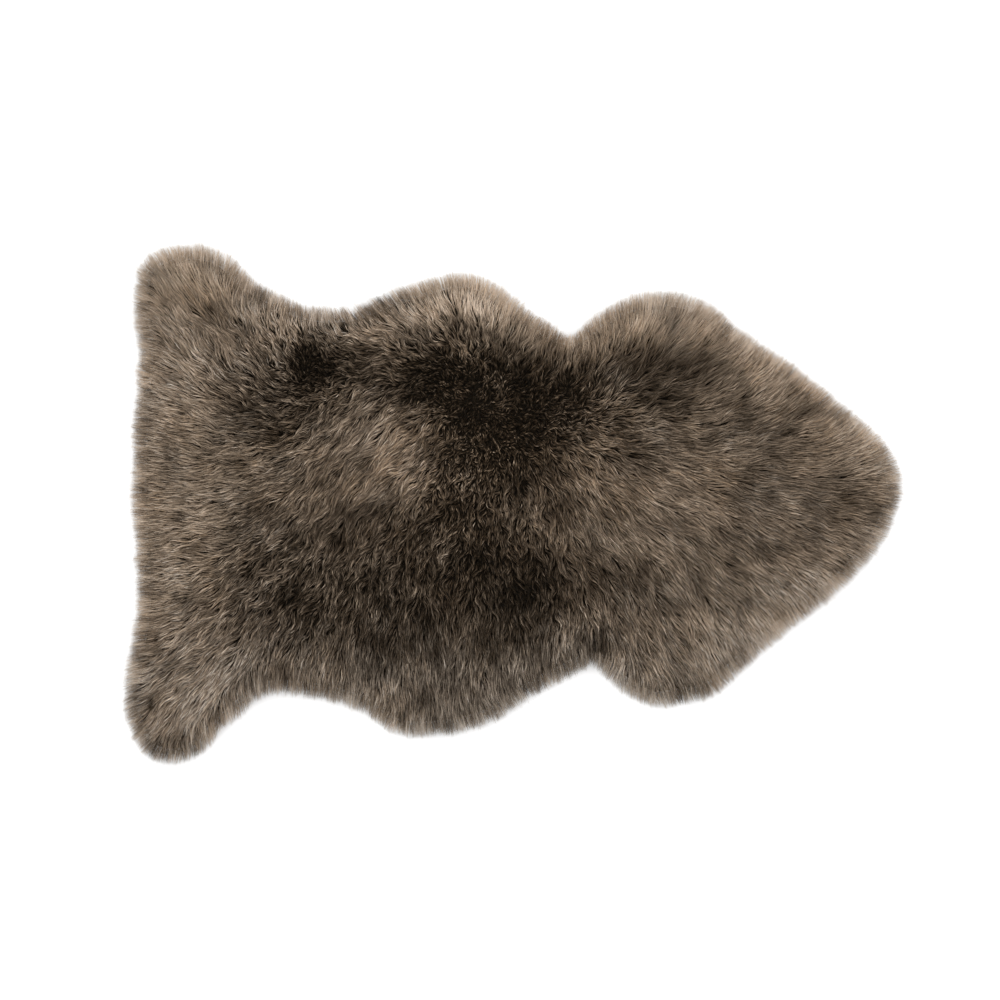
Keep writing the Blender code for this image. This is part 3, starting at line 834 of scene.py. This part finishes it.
def wool_material():
    """Dyed wool: across its map a strand has one tone, which holds painted light and shade as
    well as its own colour, and up its map it pales to the tip.

    The map has strips above each other, the greyest wool in the lowest."""
    material, tree, shader = new_material("combed wool", roughness=0.5, specular=0.13)
    place = tree.nodes.new("ShaderNodeUVMap")
    place.uv_map = "OFBake"
    split = tree.nodes.new("ShaderNodeSeparateXYZ")
    tree.links.new(place.outputs["UV"], split.inputs["Vector"])
    strips = calculated(tree, "MULTIPLY", split.outputs["Y"], STRIPS)
    stage = calculated(tree, "FRACT", strips)
    brown = calculated(tree, "DIVIDE", calculated(tree, "FLOOR", strips), STRIPS - 1)
    at_root = calculated(tree, "ADD", split.outputs["X"], TONE_SHIFT)
    pales = calculated(tree, "MULTIPLY", stage, TIP_GAIN)
    tone = calculated(tree, "ADD", at_root, pales)
    mix = tree.nodes.new("ShaderNodeMix")
    mix.data_type = "RGBA"
    tree.links.new(brown, mix.inputs["Factor"])
    colours = [socket for socket in mix.inputs if socket.type == "RGBA"]
    for socket, share in zip(colours, (-TINT_GAIN, TINT_GAIN)):
        tree.links.new(colour_ramp(tree, tone, browner(WOOL_TONES, share)), socket)
    blended = next(socket for socket in mix.outputs if socket.type == "RGBA")
    tree.links.new(blended, shader.inputs["Base Color"])
    return material


def undercoat_material():
    material, tree, shader = new_material("dense undercoat", roughness=0.9, specular=0.1)
    fibres = noise_texture(tree, scale=420, detail=4, roughness=0.6)
    # dark like the roots, and as painted shade between the strands
    tree.links.new(colour_ramp(tree, fibres, COAT_TONES_AND_SHADE), shader.inputs["Base Color"])
    bump(tree, shader, fibres, distance=2 * MM, strength=1)
    return material


def suede_material():
    material, tree, shader = new_material("suede hide", roughness=0.88, specular=0.2)
    shader.inputs["Sheen Weight"].default_value = 0.3
    cloud = noise_texture(tree, scale=14, detail=5, roughness=0.55)
    nap = noise_texture(tree, scale=900, detail=3, roughness=0.7)
    tree.links.new(colour_ramp(tree, cloud, SUEDE_TONES), shader.inputs["Base Color"])
    bump(tree, shader, nap, distance=0.4 * MM, strength=0.6)
    return material


# ---- hide and undercoat


def nothing_selected():
    bpy.ops.object.select_all(action="DESELECT")


def keep_piece(piece, material):
    """Gives a finished piece its material and its place in the frame."""
    piece.data.materials.clear()
    piece.data.materials.append(material)
    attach(piece, BODY)
    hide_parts(NODE)
    return piece


def set_coordinates(mesh, co):
    mesh.vertices.foreach_set("co", co.astype(np.float32).ravel())
    mesh.update()


def pelt_outline():
    """The edge of the hide, counter-clockwise: the sole's edge moved out a little."""
    along = np.roll(sole, -1, axis=0) - np.roll(sole, 1, axis=0)
    out = np.stack([along[:, 1], -along[:, 0]], -1)
    out /= np.linalg.norm(out, axis=1, keepdims=True)
    return sole + out * (RIM_BEYOND_SOLE - EDGE_INSET)


def slab_in_outline(name, outline, step, thickness):
    """A closed slab of square cells in this outline, its underside at Z = 0."""
    size = outline.max(0) - outline.min(0) + 2 * step
    middle = (outline.max(0) + outline.min(0)) / 2
    cells = np.ceil(size / step).astype(int)
    nothing_selected()
    bpy.ops.mesh.primitive_grid_add(
        x_subdivisions=int(cells[0]), y_subdivisions=int(cells[1]), size=1, location=(0, 0, 0)
    )
    slab = bpy.context.object
    slab.name = slab.data.name = name
    bpy.ops.object.mode_set(mode="EDIT")
    bpy.ops.transform.resize(value=(size[0], size[1], 1))
    bpy.ops.transform.translate(value=(middle[0], middle[1], 0))
    bpy.ops.mesh.select_all(action="DESELECT")
    bpy.ops.object.mode_set(mode="OBJECT")

    centres = np.array([tuple(face.center[:2]) for face in slab.data.polygons])
    slab.data.polygons.foreach_set("select", ~within(outline, centres))
    bpy.ops.object.mode_set(mode="EDIT")
    bpy.ops.mesh.select_mode(type="FACE")
    bpy.ops.mesh.delete(type="FACE")
    bpy.ops.mesh.select_mode(type="VERT")
    bpy.ops.mesh.select_non_manifold()
    bpy.ops.object.mode_set(mode="OBJECT")
    edge = np.array([vertex.select for vertex in slab.data.vertices])
    co = coordinates(slab.data)
    co[edge, :2] = nearest_on(outline, co[edge, :2])
    set_coordinates(slab.data, co)

    thicken = slab.modifiers.new("thickness", "SOLIDIFY")
    thicken.thickness = thickness
    thicken.offset = 1.0
    bpy.ops.object.modifier_apply(modifier=thicken.name)
    return slab


def build_hide(outline):
    slab = slab_in_outline("hide", outline, HIDE_STEP, HIDE_THICKNESS)
    co = coordinates(slab.data)
    co[:, 2] += HIDE_LIFT
    set_coordinates(slab.data, co)
    bpy.ops.object.shade_smooth_by_angle(angle=math.radians(40))
    return slab


def build_undercoat(outline):
    """The dense wool next to the hide: flat below, and above as lumpy as the pile."""
    slab = slab_in_outline("undercoat", outline, COAT_STEP, COAT_LEAST)
    co = coordinates(slab.data)
    above = co[:, 2] > COAT_LEAST / 2
    co[:, 2] = COAT_FOOT
    co[above, 2] = coat(co[above]) + COAT_LEAST
    set_coordinates(slab.data, co)
    bpy.ops.object.shade_smooth_by_angle(angle=math.radians(60))
    return slab


# ---- wool


def strand_pattern(rings):
    """The faces of a strand: a root point, three-sided rings and a tip point.

    Each corner is (point, place across the map, stage up the strand)."""
    tip = 1 + 3 * rings
    faces = []
    for k in range(3):
        n = (k + 1) % 3
        faces.append([(0, 0, 0), (1 + n, n - 1, 1), (1 + k, k - 1, 1)])
        for ring in range(1, rings):
            low, high = 3 * ring - 2, 3 * ring + 1
            faces.append([
                (low + k, k - 1, ring), (low + n, n - 1, ring),
                (high + n, n - 1, ring + 1), (high + k, k - 1, ring + 1),
            ])
        last = tip - 3
        faces.append([(last + k, k - 1, rings), (last + n, n - 1, rings), (tip, 0, rings + 1)])
    return faces


def strands_mesh(name, routes, radii, tones, strips, stages):
    """One mesh of many closed strands.

    routes is (strands, points, 3), from the root through the rings to the tip. radii is
    (strands, rings), and stages says how far up the strand each point is, from 0 to 1. A
    strand's tone is its place across the map, and strips says which strip of the map it has."""
    count, points = routes.shape[:2]
    rings = points - 2
    ahead = routes[:, 2:] - routes[:, :-2]
    ahead /= np.linalg.norm(ahead, axis=-1, keepdims=True)
    side = np.cross(UP, ahead)
    length = np.linalg.norm(side, axis=-1, keepdims=True)
    side = np.where(length > NEAR_UPRIGHT, side / np.maximum(length, 1e-9), ALONG_RUG)
    over = np.cross(ahead, side)
    turn = np.radians([90, 210, 330])[:, None]
    round_it = side[:, :, None] * np.cos(turn) + over[:, :, None] * np.sin(turn)
    around = routes[:, 1:-1, None] + radii[:, :, None, None] * round_it
    around = around.reshape(count, rings * 3, 3)
    verts = np.concatenate([routes[:, :1], around, routes[:, -1:]], 1)
    verts[..., 2] = np.maximum(verts[..., 2], LOWEST)

    pattern = strand_pattern(rings)
    corners = np.array([corner for face in pattern for corner in face])
    sizes = np.array([len(face) for face in pattern])
    starts = np.concatenate([[0], np.cumsum(sizes)[:-1]])
    every = np.arange(count)[:, None]

    mesh = bpy.data.meshes.new(name)
    mesh.vertices.add(count * verts.shape[1])
    mesh.vertices.foreach_set("co", verts.astype(np.float32).ravel())
    mesh.loops.add(count * len(corners))
    index = every * verts.shape[1] + corners[:, 0]
    mesh.loops.foreach_set("vertex_index", index.astype(np.int32).ravel())
    mesh.polygons.add(count * len(sizes))
    loop_starts = every * len(corners) + starts
    mesh.polygons.foreach_set("loop_start", loop_starts.astype(np.int32).ravel())
    mesh.update(calc_edges=True)
    u = tones[:, None] + MAP_SIDE * corners[:, 1]
    v = (strips[:, None] + np.asarray(stages)[corners[:, 2]]) / STRIPS
    layer = mesh.uv_layers.new(name="OFBake")
    layer.uv.foreach_set("vector", np.stack([u, v], -1).astype(np.float32).ravel())
    mesh.shade_smooth()
    piece = bpy.data.objects.new(name, mesh)
    bpy.context.scene.collection.objects.link(piece)
    return piece


def scattered(step):
    """Places on the undercoat this far apart on its surface, each moved a little at random."""
    low, high = flat_places.min(0), flat_places.max(0)
    rows = np.arange(low[1], high[1], step * math.sqrt(3) / 2)
    y, x = np.meshgrid(rows, np.arange(low[0], high[0], step), indexing="ij")
    x = x + (np.arange(len(rows)) % 2)[:, None] * step / 2
    spots = np.stack([x.ravel(), y.ravel()], -1)
    spots = spots[depth(spots) > EDGE_INSET]
    copies = np.floor(steepness(spots) + chance.random(len(spots))).astype(int)
    spots = np.repeat(spots, copies, axis=0)
    spots = spots + chance.uniform(-0.5, 0.5, spots.shape) * step
    return spots[depth(spots) > EDGE_INSET]


def level_to_tone(level):
    """The tone of wool that looks this bright on a screen."""
    levels = [sum(tone.colour) / 3 for tone in WOOL_TONES]
    return np.interp(level, levels, [tone.place for tone in WOOL_TONES])


def run_along(roots, stray, reach, shares):
    """The places over the floor that strands pass through at these shares of their reach."""
    spots, done = [roots], 0
    for share in shares:
        length = (share - done) * reach[:, None]
        halfway = spots[-1] + turned(lie(spots[-1]), stray) * length / 2
        spots.append(spots[-1] + turned(lie(halfway), stray) * length)
        done = share
    return spots


def laid_out(layer, roots, near_rim, upright, lively):
    """The places over the floor that a layer's strands pass through, ended near the rim."""
    count = len(roots)
    stray = chance.normal(0, layer.stray, count)
    calm = (1 - lively) * (1 - near_rim)
    reach = REACH * layer.reach * (
        1 + RIM_LONGER * near_rim - UPRIGHT_SHORTER * upright + CALM_LONGER * calm
    )
    reach *= chance.uniform(*LENGTHS, count)
    limit = -OVERHANG + np.abs(chance.normal(0, SOONER, count))
    limit -= chance.exponential(FURTHER, count)
    limit -= LOCK_REACH * ridge(roots) * lively
    shares = [place.along for place in (*layer.places, TIP)]
    spots = run_along(roots[:, :2], stray, reach, shares)
    for _ in range(2):
        over = np.maximum(limit + short_of_rim(spots[-1]) - depth(spots[-1]), 0)
        facing = (unit(spots[-1] - spots[-2]) * outward(spots[-1])).sum(1)
        reach = np.maximum(reach - over / np.maximum(facing, LEAST_FACING), SHORTEST)
        spots = run_along(roots[:, :2], stray, reach, shares)
    return spots


def raised(layer, roots, spots, locks, lively):
    """The routes of strands through these places, drawn to their locks and given heights."""
    rank = np.clip((roots[:, 2] - COAT_FOOT) / FULL_TOP, 0, 1)
    height = LOW_TOP + (1 - LOW_TOP) * rank
    lift = layer.lift * MM + chance.normal(0, layer.ruffle * MM, len(roots)) * lively
    points = [roots - ROOT_DEPTH * UP]
    for place, spot in zip((*layer.places, TIP), spots[1:]):
        pull = np.stack([ridge_slope_x(spot), ridge_slope_y(spot)], -1) * LOCK_PULL
        length = np.linalg.norm(pull, axis=1, keepdims=True)
        capped = np.minimum(1, MOST_PULL / np.maximum(length, 1e-9))
        spot = spot + pull * (capped * (locks * place.along)[:, None])
        up = top(spot) * height + lift + ridge(spot) * LOCK_LIFT * locks
        if place is TIP:
            up = up + layer.droop * MM
        z = points[0][:, 2] + (up - points[0][:, 2]) * place.rise
        points.append(np.column_stack([spot, z]))
    routes = np.stack(points, 1)
    routes[..., 2] = np.maximum(routes[..., 2], LOWEST)
    return routes


def grown(layer):
    """The routes, radii, tones and strips of one layer's strands."""
    roots = scattered(layer.step * MM)
    roots = np.column_stack([roots, coat(roots)])
    count = len(roots)
    near_rim = 1 - inside(roots, LENGTH_BAND)
    upright = 1 - np.linalg.norm(lie(roots[:, :2]), axis=1)
    lively = liveliness(roots)
    spots = laid_out(layer, roots, near_rim, upright, lively)
    fullness = RIM_SHARE + (1 - RIM_SHARE) * inside(spots[-1], GIRTH_BAND)
    locks = layer.locks * fullness * lively
    routes = raised(layer, roots, spots, locks, lively)

    shown = (spots[-1] + spots[-2]) / 2
    tone = level_to_tone(look_level(shown)) - TONE_SHIFT - MIDDLE_TONE + layer.tone
    # painted light along the middles of the locks, painted shade in the furrows between them
    tone += ridge(shown) * LOCK_LIGHT_AND_SHADE * (locks + lively * near_rim + UPRIGHT_LOCKS * upright)
    differing = lively + RIM_MOTTLE * near_rim + UPRIGHT_MOTTLE * upright
    tone += chance.normal(0, layer.mottle, count) * differing
    radii = layer.radius * MM * chance.uniform(*GIRTHS, count) * fullness
    radii = radii[:, None] * np.array([place.girth for place in layer.places])
    return routes, radii, np.clip(tone, MAP_MARGIN, 1 - MAP_MARGIN), strip_numbers(shown)


def build_wool():
    pieces = []
    for layer in LAYERS:
        strands = grown(layer)
        stages = (MAP_MARGIN, *(place.along for place in layer.places), 1 - MAP_MARGIN)
        roots_along = strands[0][:, 0, 0]
        order = np.argsort(roots_along, kind="stable")
        for region, part in zip(layer.regions, np.array_split(order, len(layer.regions))):
            name = f"{layer.name}_{region}"
            pieces.append(strands_mesh(name, *(values[part] for values in strands), stages))
    return pieces


# ---- studio


def build_studio():
    nothing_selected()
    bpy.ops.mesh.primitive_plane_add(size=FLOOR_SIZE)
    floor = bpy.context.object
    floor.name = "studio_floor"
    material, _, shader = new_material("pale floor", roughness=0.9, specular=0.1)
    shader.inputs["Base Color"].default_value = (FLOOR_TONE, FLOOR_TONE, FLOOR_TONE, 1.0)
    floor.data.materials.append(material)

    world = bpy.data.worlds.new("studio")
    world.use_nodes = True
    backdrop = world.node_tree.nodes["Background"]
    backdrop.inputs["Color"].default_value = (1, 1, 1, 1)
    backdrop.inputs["Strength"].default_value = 1
    bpy.context.scene.world = world

    for sun in SUNS:
        bpy.ops.object.light_add(type="SUN", location=sun.towards)
        light = bpy.context.object
        light.name = sun.name
        light.data.angle = math.radians(sun.spread)
        light.data.energy = sun.power
        light.rotation_euler = Vector(sun.towards).to_track_quat("Z", "Y").to_euler()


def build_camera():
    """Straight above, where the photograph's width is all in view."""
    above = PHOTO_WIDTH * LENS / SENSOR + MID_HEIGHT
    bpy.ops.object.camera_add(location=(*PHOTO_MIDDLE, above))
    camera = bpy.context.object
    camera.data.lens = LENS
    camera.data.sensor_width = SENSOR
    camera.data.clip_end = 200
    bpy.context.scene.camera = camera
    bpy.context.scene.view_settings.view_transform = "Standard"


build_studio()
build_camera()

edge_line = pelt_outline()
hide = keep_piece(build_hide(edge_line), suede_material())
undercoat = keep_piece(build_undercoat(edge_line), undercoat_material())
wool_look = wool_material()
wool = [keep_piece(piece, wool_look) for piece in build_wool()]
